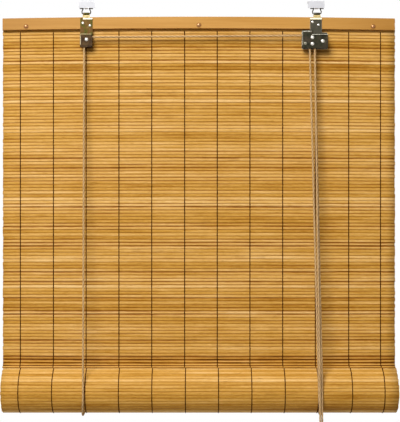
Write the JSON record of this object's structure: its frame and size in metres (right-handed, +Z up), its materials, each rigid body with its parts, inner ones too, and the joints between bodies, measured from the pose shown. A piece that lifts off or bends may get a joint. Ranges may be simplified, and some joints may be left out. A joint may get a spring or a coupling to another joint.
{
  "type": "bamboo roll up blind",
  "caption": "Bamboo slat blind that rolls up from the bottom in cord slings, with a head batten, pulley bracket, cam cord lock and ceiling hooks.",
  "frame": {"origin": "on the ceiling plane, midway between the two hook screw holes", "axes": "+X to the right seen from the room, +Y away from the room towards the window, +Z up"},
  "size_m": [0.802, 0.1209, 0.9911],
  "materials": {
    "bamboo": "satin, golden tan, streaked",
    "batten": "smooth satin, orange tan",
    "thread": "matt dark brown twist",
    "zinc": "yellow-passivated zinc, semi-gloss",
    "pale_zinc": "bright pale yellow zinc",
    "dark_steel": "dark grey-green, semi-gloss",
    "rivet": "bright",
    "nail": "dull",
    "wire": "dark semi-gloss",
    "hook_white": "gloss white",
    "wheel": "satin",
    "cord": "matt braid, beige"
  },
  "bodies": {
    "hanger": {"left_hook": "hook_white", "right_hook": "hook_white", "left_ring": "wire", "right_ring": "wire"},
    "head": {"front_batten": "batten", "back_batten": "batten", "batten_nails": "nail", "slat_curtain": "bamboo", "curtain_threads": "thread", "left_tongue": "pale_zinc", "right_tongue": "pale_zinc", "left_bracket": "zinc", "left_axle": "rivet", "left_bracket_nails": "rivet", "lock_plate": "dark_steel", "lock_front": "dark_steel", "lock_nails": "rivet", "lock_wheel_axle": "rivet", "lock_pin": "rivet", "lock_cam_axle": "rivet", "lock_spacer": "nail", "head_cord": "cord", "lock_cord": "cord", "left_lift_front": "cord", "right_lift_front": "cord", "left_lift_back": "cord", "right_lift_back": "cord", "left_cord_anchor": "nail", "right_cord_anchor": "nail", "front_pull_upper": "cord", "rear_pull_upper": "cord", "front_pull_lower": "cord", "rear_pull_lower": "cord", "front_hank": "cord", "back_hank": "cord", "hank_tie": "cord", "pull_knots": "cord"},
    "left_pulley": {"left_wheel": "wheel"},
    "lock_pulley": {"lock_wheel": "wheel"},
    "cam": {"lock_cam": "wheel"},
    "sling": {"mat_bend": "bamboo", "bend_threads": "thread", "left_sling": "cord", "right_sling": "cord"},
    "roll": {"slat_roll": "bamboo", "roll_threads": "thread", "bottom_rod": "batten"}
  },
  "joints": [
    {"name": "hang_swing", "type": "hinge", "parent": "hanger", "child": "head", "pos_m": [0, -0.026, -0.0297], "axis": [1, 0, 0], "range_deg": [-40, 40]},
    {"name": "roll_lift", "type": "slide", "parent": "head", "child": "sling", "axis": [0, 0, 1], "range_m": [0, 0.571], "deforming": ["slat_curtain", "curtain_threads", "left_lift_front", "right_lift_front", "front_pull_upper", "rear_pull_upper", "left_lift_back", "right_lift_back", "front_pull_lower", "rear_pull_lower"]},
    {"name": "roll_spin", "type": "hinge", "parent": "sling", "child": "roll", "pos_m": [0, -0.02, -0.79894], "axis": [1, 0, 0], "range_deg": [0, 720]},
    {"name": "left_pulley_spin", "type": "hinge", "parent": "head", "child": "left_pulley", "pos_m": [-0.234, -0.0299, -0.083], "axis": [0, 1, 0], "continuous": true},
    {"name": "lock_pulley_spin", "type": "hinge", "parent": "head", "child": "lock_pulley", "pos_m": [0.2247, -0.0328, -0.0797], "axis": [0, 1, 0], "continuous": true},
    {"name": "cam_swing", "type": "hinge", "parent": "head", "child": "cam", "pos_m": [0.2456, -0.0328, -0.0872], "axis": [0, -1, 0], "range_deg": [0, 30]}
  ],
  "couplings": [
    {"joint": "roll_spin", "follows": "roll_lift", "rad_per_m": 22}
  ]
}
